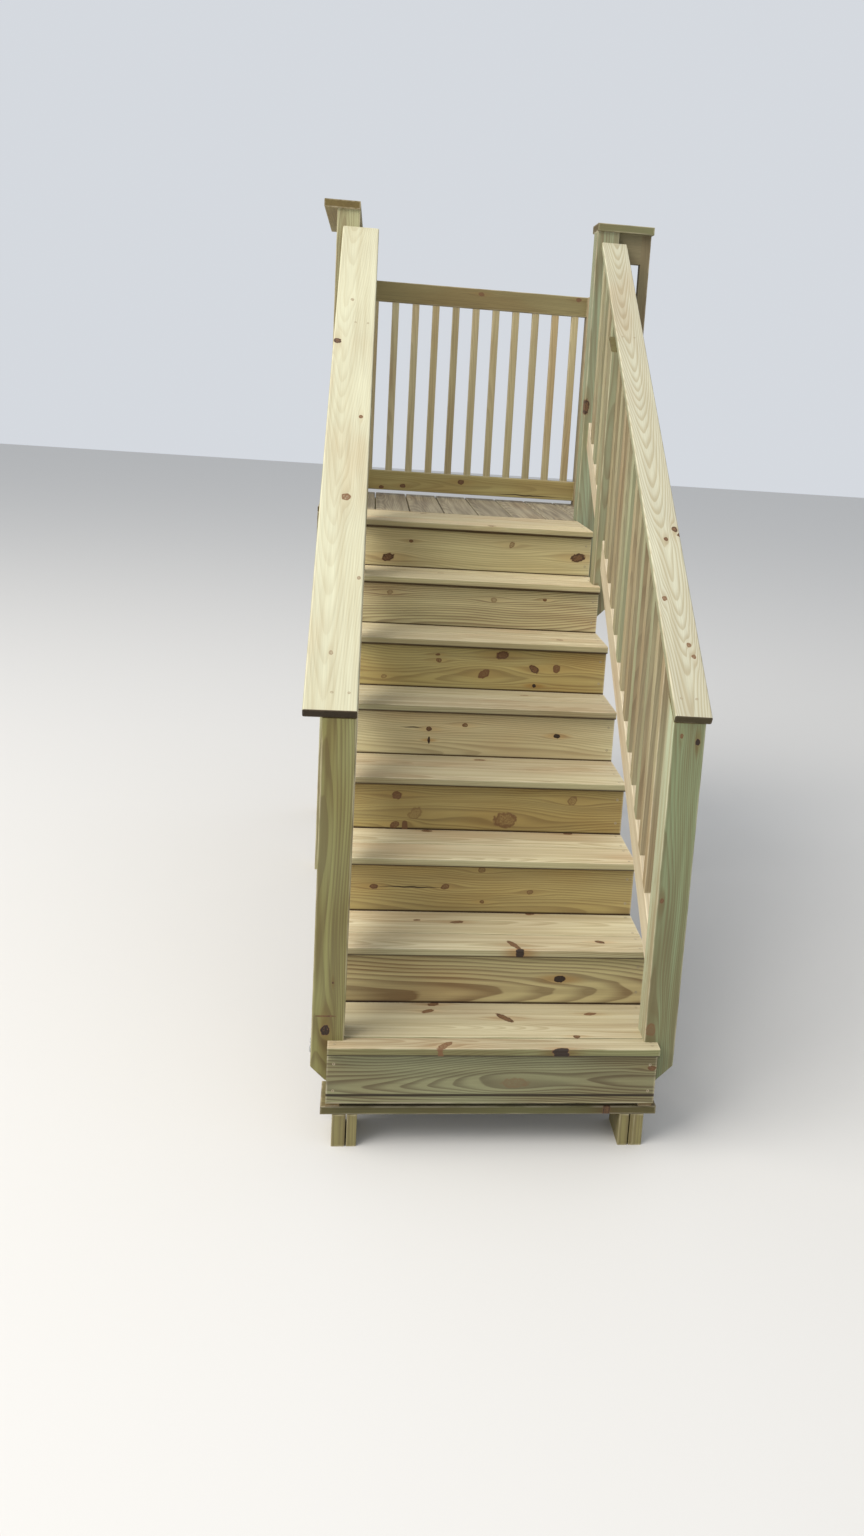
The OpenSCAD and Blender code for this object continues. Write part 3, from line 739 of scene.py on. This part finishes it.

# %% [markdown]
# ## Risers
# The risers stand in half shade and each comes from another tree, from grey to yellow brown, and each is
# made lighter or darker as painted light and shade. Their knots are given from the left end and from the
# board's lower edge, whose first 25 mm hide behind the tread below. The third and the fifth riser have
# one long check each. A thin dark line of dirt and painted shade runs where a riser stands on the tread
# below and where it meets the one above.

# %% Risers
# Lines of dirt and painted shade under the tread above and on the tread below
RISER_DIRT_AND_SHADE_ABOVE = 0.011
RISER_DIRT_AND_SHADE_BELOW = 0.006
# Each riser's own wood, made lighter or darker as painted light and shade
RISER_TONES = (
    tone_and_light(FIGURED_RISER, 0.64, 0.71, 0.61), tone_and_light(FIGURED_RISER, 1.25, 1.2, 0.98),
    tone_and_light(BROWN_RISER, 1.36, 1.36, 1.09), tone_and_light(BROWN_RISER, 1.36, 1.36, 1.04),
    tone_and_light(GREY_RISER, 1.84, 1.96, 1.86), tone_and_light(BROWN_RISER, 1.38, 1.45, 1.18),
    tone_and_light(FIGURED_RISER, 1.54, 1.56, 1.45), tone_and_light(GREY_RISER, 1.67, 1.76, 1.57),
)
RISER_KNOTS = (
    ((0.517, 0.062, 0.014, 0.0, 2.6, 0.22), (0.901, 0.108, 0.007, 0.0, 1.5, 0.7)),
    ((0.664, 0.102, 0.010, 0.0, 1.5, 1.6),),
    ((0.113, 0.103, 0.007, 0.0, 1.6, 0.7), (0.33, 0.106, 0.008, -0.4, 1.6, 0.5),
     (0.446, 0.059, 0.005, 0.0, 1.3, 0.5), (0.439, 0.163, 0.008, 0.0, 1.3, 0.35),
     (0.593, 0.094, 0.007, 0.0, 1.4, 0.4)),
    ((0.177, 0.137, 0.012, 0.0, 1.2, 0.6), (0.175, 0.038, 0.011, -0.3, 1.3, 0.55),
     (0.207, 0.037, 0.006, 0.0, 1.4, 0.6), (0.238, 0.075, 0.018, -0.9, 1.4, 0.25),
     (0.53, 0.063, 0.024, 0.0, 1.5, 0.38), (0.747, 0.135, 0.013, -0.9, 1.3, 0.3)),
    ((0.281, 0.116, 0.007, 0.0, 1.2, 0.8), (0.283, 0.077, 0.004, -1.57, 2.6, 1.6),
     (0.402, 0.134, 0.007, 0.0, 1.3, 0.5), (0.718, 0.107, 0.007, 0.0, 1.4, 1.4)),
    ((0.127, 0.058, 0.007, 0.0, 1.3, 0.3), (0.317, 0.124, 0.007, 0.0, 1.3, 0.5),
     (0.313, 0.142, 0.006, 0.0, 1.3, 0.6), (0.479, 0.081, 0.013, -0.6, 1.5, 0.6),
     (0.542, 0.152, 0.014, -0.3, 1.5, 0.75), (0.657, 0.107, 0.011, 0.7, 1.8, 0.8),
     (0.661, 0.045, 0.006, 0.0, 1.0, 1.6), (0.739, 0.111, 0.009, 0.0, 1.4, 0.6)),
    ((0.139, 0.141, 0.008, 0.0, 1.4, 0.3), (0.523, 0.131, 0.008, 0.0, 1.4, 0.3),
     (0.713, 0.14, 0.005, 0.0, 1.4, 0.6)),
    ((0.13, 0.06, 0.014, -0.3, 1.5, 0.85), (0.215, 0.126, 0.006, 0.0, 1.3, 0.6),
     (0.604, 0.132, 0.009, -0.9, 1.5, 0.35), (0.866, 0.096, 0.015, -0.2, 1.7, 0.85)),
)
RISER_CHECKS = {3: ((0.222, 0.103, 0.12, 0.0026),), 5: ((0.225, 0.120, 0.045, 0.0022),)}
RISER_RINGS = (0.006, 0.012, 0.007, 0.007, 0.006, 0.007, 0.008, 0.007)
RISER_SEEDS = (118.0, 131.0, 109.0, 112.0, 115.0, 118.0, 147.0, 124.0)
RISER_TAPERS = (-0.02, 0.05, 0.02, 0.01, 0.02, 0.02, -0.04, 0.03)
RISER_ROWS = zip(RISER_TONES, RISER_KNOTS, RISER_RINGS, RISER_SEEDS, RISER_TAPERS)
for number, (tones, knots, ring, seed, taper) in enumerate(RISER_ROWS, start=1):
    node = f"riser_{number}"
    riser_lie = lie(node, EAST, UP)
    dress(node, f"riser {number} pine", riser_lie, tones, seed=seed, ring=ring, taper=taper, figure=0.8,
          wander=0.08, knots=knots, checks=RISER_CHECKS.get(number, ()),
          grime=(("Y", riser_lie[2].y, RISER_DIRT_AND_SHADE_ABOVE), ("Y", TREAD_T, RISER_DIRT_AND_SHADE_BELOW)))
print("knots on the risers:", sum(len(knots) for knots in RISER_KNOTS))

# %% [markdown]
# ## Pitched railing
# The caps were sawn flat from a log that tapers strongly, so pale arches run along them and point
# down to the foot. They lie in the pitch, and the right railing also splays out a little towards
# the landing. The grain of caps, bottom rails and stringers follows their own slope, and the
# spindles' grain stands upright. Some spindles are pinkish and some are sage.

# %% The slope of the railing
CAP_T = 0.025
SPLAY_OUT = 0.055
SPLAY_RUN = 2.65
SPLAY = {"left": 0.0, "right": math.atan2(SPLAY_OUT, SPLAY_RUN)}


def slope_of(side):
    """The upper corner of a cap's foot, and the pitch of the cap."""
    low, high = corners_of(f"handrail_cap_{side}")
    first_guess = math.atan2(high.z - low.z, high.y - low.y)
    foot = Vector((low.x, low.y, low.z + CAP_T * math.cos(first_guess)))
    return foot, math.atan2(high.z - foot.z, high.y - foot.y)


def rake_of(side):
    """The directions along the railing, square to its slope and out to its right."""
    pitch = slope_of(side)[1]
    splay = SPLAY[side]
    ahead = math.cos(splay)
    along = Vector((math.sin(splay), ahead * math.cos(pitch), ahead * math.sin(pitch)))
    square = Vector((0, -math.sin(pitch), math.cos(pitch)))
    return along, square, along.cross(square)


for side in ("left", "right"):
    print(side, "pitch", round(math.degrees(slope_of(side)[1]), 2), "degrees, along", rake_of(side)[0])

# %% Caps, bottom rails, stringers and spindles
RAIL_D = 0.089
RAIL_T = 0.038
STRINGER_D = 0.286
SPINDLE = 0.035
SPINDLE_PITCH = 0.113
# Painted shade on the foot end of each cap
CAP_END_SHADE = (("X", 0.0, 0.004),)
CAP_WIDTH = {"left": 0.14, "right": 0.102}
CAP_SEED = {"left": 31.0, "right": 37.0}
# Each cap's tones, made darker as painted shade
CAP_TONE_AND_LIGHT = {"left": (0.71, 0.78, 0.81), "right": (0.63, 0.69, 0.75)}
CAP_FIGURE = {"left": 0.3, "right": 0.8}
CAP_RING = {"left": 0.0055, "right": 0.0038}
CAP_KNOTS = {
    "left": ((0.885, 0.077, 0.013, 0.0, 1.2, 0.5), (1.757, 0.014, 0.012, 0.2, 1.3, 0.95),
             (1.31, 0.109, 0.006, 0.0, 1.5, 0.6), (0.212, 0.063, 0.005, 0.0, 1.5, 0.3),
             (0.518, 0.127, 0.005, 0.0, 1.5, 0.35), (2.04, 0.056, 0.006, 0.0, 1.5, 0.3)),
    "right": ((0.79, 0.088, 0.008, 0.0, 1.5, 0.85), (0.765, 0.096, 0.006, 0.0, 1.5, 0.8),
              (0.74, 0.056, 0.006, 0.0, 1.4, 0.8), (0.467, 0.022, 0.007, 0.0, 1.4, 0.5),
              (0.278, 0.07, 0.006, 0.0, 1.4, 0.5), (0.232, 0.078, 0.006, 0.0, 1.4, 0.5)),
}
SPINDLE_KNOTS = ((0.74, 0.37, 0.006, 0.0, 1.8, 0.9), (0.97, 0.82, 0.006, 0.0, 1.8, 0.8),
                 (1.2, 1.27, 0.006, 0.0, 1.6, 0.8))

for side in ("left", "right"):
    cap, rail, stringer, spindles = (
        f"handrail_cap_{side}", f"bottom_rail_{side}", f"stringer_{side}", f"balusters_{side}")
    foot, pitch = slope_of(side)
    along, square, outwards = rake_of(side)
    width = CAP_WIDTH[side]
    length = (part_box(cap)[1][1] - foot.y) / math.cos(pitch)
    dress(cap, f"cap {side} pine", lie_slanted(along, outwards, foot, (length, width, CAP_T)),
          tone_and_light(PALE_CAP, *CAP_TONE_AND_LIGHT[side]), seed=CAP_SEED[side], width=width, ring=CAP_RING[side],
          taper=-0.045, wander=0.05, figure=CAP_FIGURE[side], green=0.03, knots=CAP_KNOTS[side],
          stain=0.25, grime=CAP_END_SHADE)
    dress(rail, f"bottom rail {side} pine",
          lie_slanted(along, square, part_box(rail)[0], (length, RAIL_D, RAIL_T)),
          tone_and_light(PALE_CAP, 0.85, 0.85, 0.90), seed=41.0, width=RAIL_D, green=0.05, narrow=0.0)
    dress(stringer, f"stringer {side} pine",
          lie_slanted(along, square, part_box(stringer)[0], (length, STRINGER_D, RAIL_T)),
          tone_and_light(GREY_RISER, 1.2), seed=51.0, width=0.28, green=0.25, narrow=0.3)
    dress(spindles, f"spindle {side} pine", lie(spindles, UP, NORTH), WARM_SPINDLE, seed=60.0,
          width=SPINDLE, green=0.2, narrow=0.0, pitch=SPINDLE_PITCH, other=SAGE_SPINDLE,
          knots=SPINDLE_KNOTS)
    print(side, "cap:", round(length, 3), "m long")

# %% [markdown]
# ## Posts, foot and landing
# The square posts took the treatment unevenly: green and brown streaks stand side by side on
# them, and their ends show the rings as arcs. Each post is made lighter or darker as painted light and
# shade, and the front of the right newel is darker than its side as painted shade. The sill and the
# levelling blocks are made darker too, for their own tone and as painted shade.
# The landing is older than the flight: its deck boards are worn grey and its guard stands in shade.

# %% Posts
POST = 0.089
# Painted shade on the front and back faces of the right newel
PAINTED_FRONT_SHADE = rgb(0.52, 0.54, 0.42)
POST_FACE_SHADE = {"bottom_post_right": PAINTED_FRONT_SHADE}
POST_KNOTS = {
    "bottom_post_left": ((0.149, 0.037, 0.011, 0.0, 1.3, 1.3), (0.287, 0.053, 0.003, 0.0, 1.0, 1.0),
                         (0.19, 0.035, 0.002, 1.57, 11.0, 0.8)),
    "bottom_post_right": ((1.006, 0.025, 0.0045, 0.0, 1.4, 0.6), (0.991, 0.07, 0.006, 0.0, 1.4, 1.7),
                          (0.155, 0.016, 0.013, 0.0, 1.4, 0.35), (0.539, 0.013, 0.005, 0.0, 1.4, 0.7)),
    "landing_post_right": ((2.035, 0.006, 0.011, 0.0, 2.6, 0.9),),
}
# Each post's tones, made lighter or darker as painted light and shade
POST_TONES = {
    "bottom_post_left": tone_and_light(GREEN_POST, 0.72, 0.70, 0.50),
    "top_post_left": tone_and_light(GREEN_POST, 0.72, 0.70, 0.50),
    "landing_post_left": tone_and_light(GREEN_POST, 1.1, 1.1, 1.25),
    "bottom_post_right": tone_and_light(SAGE_POST, 1.28, 1.4, 1.62),
    "top_post_right": tone_and_light(SAGE_POST, 0.82, 0.80, 0.80),
    "landing_post_right": tone_and_light(SAGE_POST, 0.91, 1.02, 1.1),
}
for number, (node, tones) in enumerate(POST_TONES.items()):
    dress(node, f"{node} pine", lie(node, UP, EAST), tones, seed=80.0 + number * 3.0, width=POST,
          ring=0.0045, figure=0.6, streaks=0.9, narrow=0.0, knots=POST_KNOTS.get(node, ()),
          face=POST_FACE_SHADE.get(node))
for node in ("back_post_left", "back_post_right"):
    dress(node, f"{node} pine", lie(node, UP, EAST), SHADED_GUARD, seed=len(node) + 80.0, width=POST,
          narrow=0.0, green=0.1)
print("knots on the posts:", sum(len(knots) for knots in POST_KNOTS.values()))

# %% Foot
BLOCK_T = 0.038
BLOCK_PITCH = 0.041
SILL_KNOTS = ((0.80, 0.0, 0.006, 0.0, 1.6, 0.9),)
dress("sill_board", "sill pine", lie("sill_board", EAST, NORTH), tone_and_light(GREEN_POST, 0.56, 0.50, 0.40),
      seed=91.0, green=0.1, knots=SILL_KNOTS)
for side in ("left", "right"):
    node = f"levelling_blocks_{side}"
    dress(node, f"block {side} pine", lie(node, UP, EAST), tone_and_light(GREEN_POST, 0.68, 0.58, 0.42), seed=70.0,
          width=BLOCK_T, green=0.1, narrow=0.0, pitch=BLOCK_PITCH)
print("blocks stand", round(BLOCK_PITCH - BLOCK_T, 4), "m apart")

# %% Deck and its frame
DECK_BOARD = 0.138
DECK_PITCH = 0.142
DECK_SEAM_IN = 0.078
deck_lie = lie("deck_boards", NORTH, EAST)
first_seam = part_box("tread_1")[0][0] + DECK_SEAM_IN
deck_start = first_seam - math.ceil((first_seam - deck_lie[1].y) / DECK_PITCH) * DECK_PITCH
deck_lie[1].y = deck_start
dress("deck_boards", "deck pine", deck_lie, GREY_DECK, seed=120.0, width=DECK_BOARD, green=0.0,
      streaks=0.8, narrow=0.2, pitch=DECK_PITCH)
for along, seed, nodes in ((EAST, 170.0, ("deck_rim_front", "deck_rim_back", "deck_joists")),
                           (NORTH, 180.0, ("deck_rim_left", "deck_rim_right"))):
    for node in nodes:
        dress(node, f"{node} pine", lie(node, along, UP), GREY_RISER, seed=len(node) + seed, width=0.18,
              green=0.3, narrow=0.3)
print("the first deck board starts at", round(deck_start, 4))

# %% Guards
GUARD_RAIL_D = 0.089
GUARD_PITCH = 0.092
GUARD_SPINDLE = 0.031
GUARD_CLEAR = 0.022
GUARD_H = 1.16
# Well past the end of any board
BEYOND = 1.0
TOP_RAIL_KNOTS = ((0.55, 0.065, 0.008, 0.0, 1.5, 0.8), (1.0, 0.075, 0.008, 0.0, 1.5, 0.8))
BOTTOM_RAIL_KNOTS = ((0.232, 0.023, 0.008, 0.0, 1.5, 0.9), (0.503, 0.056, 0.01, 0.0, 1.4, 0.9),
                     (0.132, 0.012, 0.007, 0.0, 1.5, 0.8))
BOTTOM_RAIL_CHECKS = ((0.82, 0.012, 0.2, 0.003),)

dress("back_guard_top_rail", "guard top rail pine", lie("back_guard_top_rail", EAST, UP),
      tone_and_light(SHADED_GUARD, 0.67, 0.72, 0.58), seed=149.0, width=GUARD_RAIL_D, green=0.03, narrow=0.0,
      knots=TOP_RAIL_KNOTS)
dress("back_guard_bottom_rail", "guard bottom rail pine", lie("back_guard_bottom_rail", EAST, UP),
      tone_and_light(SHADED_GUARD, 1.28, 1.38, 1.04), seed=152.0, width=GUARD_RAIL_D, green=0.1,
      knots=BOTTOM_RAIL_KNOTS, checks=BOTTOM_RAIL_CHECKS)
dress("back_guard_balusters", "guard spindle pine", lie("back_guard_balusters", UP, EAST),
      tone_and_light(SHADED_GUARD, 1.35, 1.45, 1.5), seed=140.0, width=GUARD_SPINDLE, green=0.1, narrow=0.0,
      pitch=GUARD_PITCH, other=tone_and_light(SAGE_SPINDLE, 1.65, 1.5, 1.5))
dress("left_guard_cap", "left guard cap pine", lie("left_guard_cap", NORTH, EAST),
      tone_and_light(GREY_RISER, 1.0, 1.05, 0.85), seed=164.0, green=0.1)
dress("return_guard_cap", "return guard cap pine", lie("return_guard_cap", EAST, NORTH),
      tone_and_light(GREY_RISER, 0.75, 0.82, 0.70), seed=166.0, green=0.1)

# The rails of the left guard and the upright at the return's end run across the other boards
top_rail_low = GUARD_H - GUARD_CLEAR - GUARD_RAIL_D
dress("left_guard_panel", "left guard pine", lie("left_guard_panel", UP, NORTH), SHADED_GUARD,
      seed=160.0, width=GUARD_SPINDLE, narrow=0.0,
      crossed=((-BEYOND, GUARD_RAIL_D), (top_rail_low, GUARD_H)))
return_lie = lie("return_guard_frame", EAST, UP)
return_length = return_lie[2].x
dress("return_guard_frame", "return guard pine", return_lie, tone_and_light(SHADED_GUARD, 0.6), seed=165.0,
      width=0.11, narrow=0.0, crossed=((return_length - RAIL_T, return_length + BEYOND),))
woods = {piece.active_material.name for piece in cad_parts.values()}
print("dressed", len(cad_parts), "nodes with", len(woods), "kinds of wood")

# %% [markdown]
# ## Screws and bolts
# Coated screws hold every board, driven a little way in from its edges and over what carries it.
# A screw head is a small flat disc with a star-shaped pocket, which is made round at this size.
# One head is made from a disc whose top is inset and then pushed in. Two carriage bolts hold each
# notched post to the stringer beside it, and their heads are made the same way, but domed by two
# raised insets. Only the heads show, so only they are made, once each, and copied to their places.

# %% The finish of the metal
SPOTS = (240.0, 3.0)
SPOTS_STEP = (0.45, 0.7)
SPOTS_ROUGHER = 0.3
SPOTS_STRENGTH = 0.3
SPOTS_RELIEF = 0.0002


def metal(name, plain, worn_tone, metallic, roughness):
    """A coated metal with paler rubbed spots."""
    material, tree, inputs = new_finish(name)
    inputs["Metallic"].default_value = metallic
    place = put(tree, "TexCoord").outputs["Object"]
    spots = noise(tree, place, *SPOTS)
    colour = mix_colour(tree, step_over(tree, spots, *SPOTS_STEP), plain, worn_tone)
    tree.links.new(colour, inputs["Base Color"])
    tree.links.new(calc(tree, "MULTIPLY_ADD", spots, SPOTS_ROUGHER, roughness), inputs["Roughness"])
    relief(tree, spots, SPOTS_STRENGTH, SPOTS_RELIEF)
    return material


COATED = metal("coated screw", rgb(0.33, 0.27, 0.17), rgb(0.46, 0.39, 0.27), 0.2, 0.35)
ZINC = metal("zinc bolt", rgb(0.42, 0.43, 0.42), rgb(0.62, 0.62, 0.6), 0.7, 0.3)
print("finishes of the metal:", COATED.name, "and", ZINC.name)

# %% One screw head and one bolt head
HEAD_SIDES = 12
SCREW_R = 0.0042
SCREW_T = 0.0016
SCREW_PROUD = 0.0003
POCKET_R = 0.0019
POCKET_DEEP = 0.0008
POCKET_LIP = 0.0002
BOLT_R = 0.0105
BOLT_T = 0.0022
BOLT_SUNK = 0.0005
BOLT_DOME = ((0.003, 0.0018), (0.004, 0.0009))
LOOKS_UP = 0.9


def start_head(name, radius, thick, sunk):
    """A disc whose underside is sunk below Z = 0, with its top face selected in edit mode."""
    bpy.ops.object.select_all(action="DESELECT")
    bpy.ops.mesh.primitive_cylinder_add(vertices=HEAD_SIDES, radius=radius, depth=thick,
                                        location=(0, 0, thick / 2 - sunk))
    head = bpy.context.object
    head.name = name
    bpy.ops.object.transform_apply(location=True, rotation=True, scale=True)
    bpy.ops.object.mode_set(mode="EDIT")
    bpy.ops.mesh.select_mode(type="FACE")
    bpy.ops.mesh.select_all(action="DESELECT")
    bpy.ops.object.mode_set(mode="OBJECT")
    for face in head.data.polygons:
        face.select = face.normal.z > LOOKS_UP
    bpy.ops.object.mode_set(mode="EDIT")
    return head


screw = start_head("screw head", SCREW_R, SCREW_T, SCREW_T - SCREW_PROUD)
bpy.ops.mesh.inset(thickness=SCREW_R - POCKET_R, depth=0.0)
bpy.ops.mesh.inset(thickness=POCKET_LIP, depth=-POCKET_DEEP)
bpy.ops.object.mode_set(mode="OBJECT")
bolt = start_head("bolt head", BOLT_R, BOLT_T, BOLT_SUNK)
for inwards, upwards in BOLT_DOME:
    bpy.ops.mesh.inset(thickness=inwards, depth=upwards)
bpy.ops.object.mode_set(mode="OBJECT")
print("faces of a screw head:", len(screw.data.polygons), "and of a bolt head:", len(bolt.data.polygons))

# %% Driving them
def drive(name, head, metal_kind, places):
    """Copies a head to every place, a point and the way it looks, and joins the copies."""
    bpy.ops.object.select_all(action="DESELECT")
    for point, looks in places:
        copy = bpy.data.objects.new(name, head.data.copy())
        bpy.context.scene.collection.objects.link(copy)
        copy.matrix_world = Matrix.Translation(point) @ looks.to_track_quat("Z", "Y").to_matrix().to_4x4()
        copy.select_set(True)
        bpy.context.view_layer.objects.active = copy
    bpy.ops.object.join()
    piece = bpy.context.object
    bpy.ops.object.transform_apply(location=True, rotation=True, scale=True)
    piece.name = name
    piece.data.materials.clear()
    piece.data.materials.append(metal_kind)
    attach(piece, "root")
    print(name, len(places), "heads,", len(piece.data.polygons), "faces")


def under_any(point, nodes):
    """True if a point is inside one of the nodes seen from above."""
    for low, high in map(corners_of, nodes):
        if low.x < point.x < high.x and low.y < point.y < high.y:
            return True
    return False


# %% Screws in treads and risers
SCREW_IN = 0.019
BOARD_IN = 0.022
RISER_SCREWS_DOWN = (0.035, 0.115)
POSTS = ("bottom_post_left", "bottom_post_right", "top_post_left", "top_post_right")
tread_places = []
riser_places = []
for number, front in enumerate(FRONT_BOARDS, start=1):
    low, high = corners_of(f"tread_{number}")
    boards = [(0.0, front), (front + SEAM, TREAD_D)]
    if number == len(FRONT_BOARDS):
        boards.append((TREAD_D + SEAM, high.y - low.y))
    for start, end in boards:
        for x in (low.x + SCREW_IN, high.x - SCREW_IN):
            for y in (low.y + start + BOARD_IN, low.y + end - BOARD_IN):
                point = Vector((x, y, high.z))
                if not under_any(point, POSTS):
                    tread_places.append((point, UP))
    low, high = corners_of(f"riser_{number}")
    for x in (low.x + SCREW_IN, high.x - SCREW_IN):
        for down in RISER_SCREWS_DOWN:
            riser_places.append((Vector((x, low.y, high.z - down)), -NORTH))
drive("tread_screws", screw, COATED, tread_places)
drive("riser_screws", screw, COATED, riser_places)

# %% Screws in caps
CAP_SCREW_IN = 0.022
CAP_SCREWS_ACROSS = {"left": (0.072, 0.116), "right": (0.024, 0.066)}
FLAT_CAP_POSTS = {
    "left_guard_cap": ("landing_post_left", "back_post_left"),
    "return_guard_cap": ("landing_post_right",),
}
cap_places = []
for side in ("left", "right"):
    foot, pitch = slope_of(side)
    along, square, outwards = rake_of(side)
    for post in (f"bottom_post_{side}", f"top_post_{side}"):
        low, high = corners_of(post)
        travel = ((low.y + high.y) / 2 - foot.y) / along.y
        for across in CAP_SCREWS_ACROSS[side]:
            cap_places.append((foot + along * travel + outwards * across, square))
for cap, posts in FLAT_CAP_POSTS.items():
    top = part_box(cap)[1][2]
    for post in posts:
        low, high = corners_of(post)
        for x in (low.x + CAP_SCREW_IN, high.x - CAP_SCREW_IN):
            cap_places.append((Vector((x, (low.y + high.y) / 2, top)), UP))
drive("cap_screws", screw, COATED, cap_places)

# %% Screws in the deck
DECK_EDGE = 0.01
LANDING_POSTS = ("landing_post_left", "landing_post_right", "back_post_left", "back_post_right")
deck_low, deck_high = corners_of("deck_boards")
joists_low, joists_high = corners_of("deck_joists")
screw_lines = (deck_low.y + SCREW_IN, joists_low.y + SCREW_IN, joists_high.y - SCREW_IN,
               deck_high.y - SCREW_IN)
deck_places = []
start = deck_start
while start < deck_high.x:
    for x in (start + BOARD_IN, start + DECK_BOARD - BOARD_IN):
        for y in screw_lines:
            point = Vector((x, y, deck_high.z))
            inside = deck_low.x + DECK_EDGE < x < deck_high.x - DECK_EDGE
            if inside and not under_any(point, LANDING_POSTS):
                deck_places.append((point, UP))
    start += DECK_PITCH
drive("deck_screws", screw, COATED, deck_places)

# %% Bolts in the posts
BOLT_IN = 0.022
BOLT_DOWN = 0.035
bolt_places = []
for post in POSTS:
    low, high = corners_of(post)
    tread_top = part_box("tread_1" if "bottom" in post else "tread_7")[1][2]
    outer = low.x if "left" in post else high.x
    looks = -EAST if "left" in post else EAST
    for y in (low.y + BOLT_IN, high.y - BOLT_IN):
        bolt_places.append((Vector((outer, y, tread_top - BOLT_DOWN)), looks))
drive("post_bolts", bolt, ZINC, bolt_places)
bpy.data.objects.remove(screw)
bpy.data.objects.remove(bolt)
